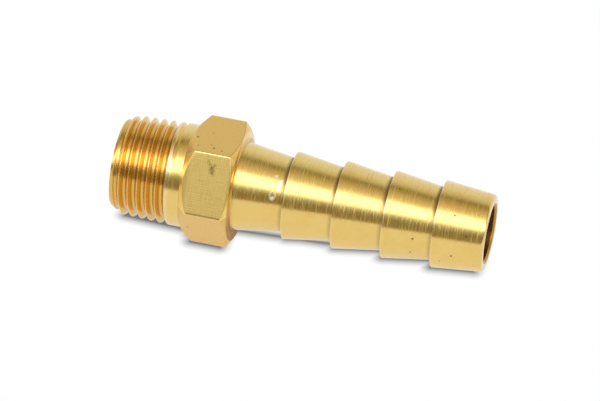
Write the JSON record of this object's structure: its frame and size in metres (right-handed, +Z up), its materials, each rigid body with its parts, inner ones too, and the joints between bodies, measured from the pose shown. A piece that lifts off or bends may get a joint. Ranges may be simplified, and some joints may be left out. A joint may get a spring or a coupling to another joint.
{
  "type": "hose barb tail",
  "caption": "Straight brass hose barb tail: tapered male pipe thread, chamfered spanner hexagon, and a tail of sawtooth barbs for a push-on hose, bored right through.",
  "frame": {"origin": "under the middle of the fitting's box, on the surface that it lies on", "axes": "+X along the fitting from its thread towards its tail, tipped down by the few degrees at which it rests; +Z up"},
  "size_m": [0.038, 0.0128, 0.0114],
  "materials": {
    "brass": "turned, bright, lightly marked"
  },
  "bodies": {
    "root": {"hose_barb_tail": "brass"}
  },
  "joints": []
}
